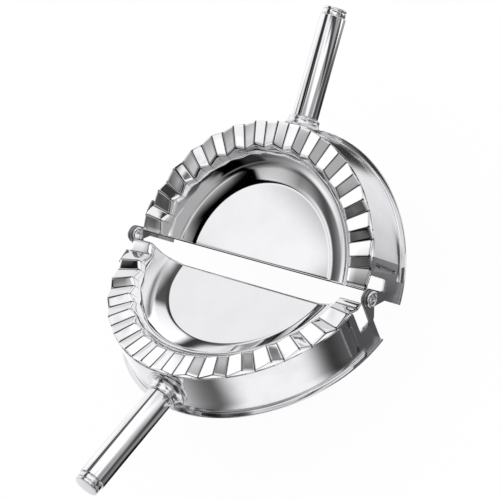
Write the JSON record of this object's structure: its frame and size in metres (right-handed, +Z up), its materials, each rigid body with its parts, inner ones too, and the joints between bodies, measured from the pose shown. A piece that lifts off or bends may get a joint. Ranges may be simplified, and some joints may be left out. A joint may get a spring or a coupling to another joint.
{
  "type": "empanada press",
  "caption": "Hinged steel empanada press: fluted half-moulds on round cutter skirts fold face to face about riveted ears and crimp a filled dough round, worked by tube handles.",
  "frame": {"origin": "middle of the base: on the plane the lip ends stand on, straight below the middle of the hinge axis", "axes": "+X along the hinge axis to the right, +Y towards the far half and its handle, +Z up"},
  "size_m": [0.1242, 0.2148, 0.0478],
  "materials": {
    "mould_steel": "mirror-polished 304 stainless steel sheet",
    "skirt_steel": "polished 304 stainless steel strip, faint brushing along it",
    "hinge_steel": "satin 304 stainless steel strip",
    "rivet_steel": "polished stainless steel tube rivet",
    "handle_steel": "mirror-polished 304 stainless steel tube",
    "fastener_steel": "plain zinc-grey steel"
  },
  "bodies": {
    "near_half": {"near_mould": "mould_steel", "near_skirt": "skirt_steel", "near_hinge_strap_right": "hinge_steel", "near_hinge_strap_left": "hinge_steel", "hinge_rivet_right": "rivet_steel", "hinge_rivet_left": "rivet_steel", "near_handle_saddle": "handle_steel", "near_handle_tube": "handle_steel", "near_handle_plug": "fastener_steel", "near_handle_screw": "fastener_steel", "near_handle_cap": "handle_steel"},
    "far_half": {"far_mould": "mould_steel", "far_skirt": "skirt_steel", "far_hinge_strap_right": "hinge_steel", "far_hinge_strap_left": "hinge_steel", "far_handle_saddle": "handle_steel", "far_handle_tube": "handle_steel", "far_handle_plug": "fastener_steel", "far_handle_screw": "fastener_steel", "far_handle_cap": "handle_steel"}
  },
  "joints": [
    {"name": "fold_hinge", "type": "hinge", "parent": "near_half", "child": "far_half", "pos_m": [0, 0, 0.02045], "axis": [1, 0, 0], "range_deg": [-36.6, 143.4]}
  ]
}
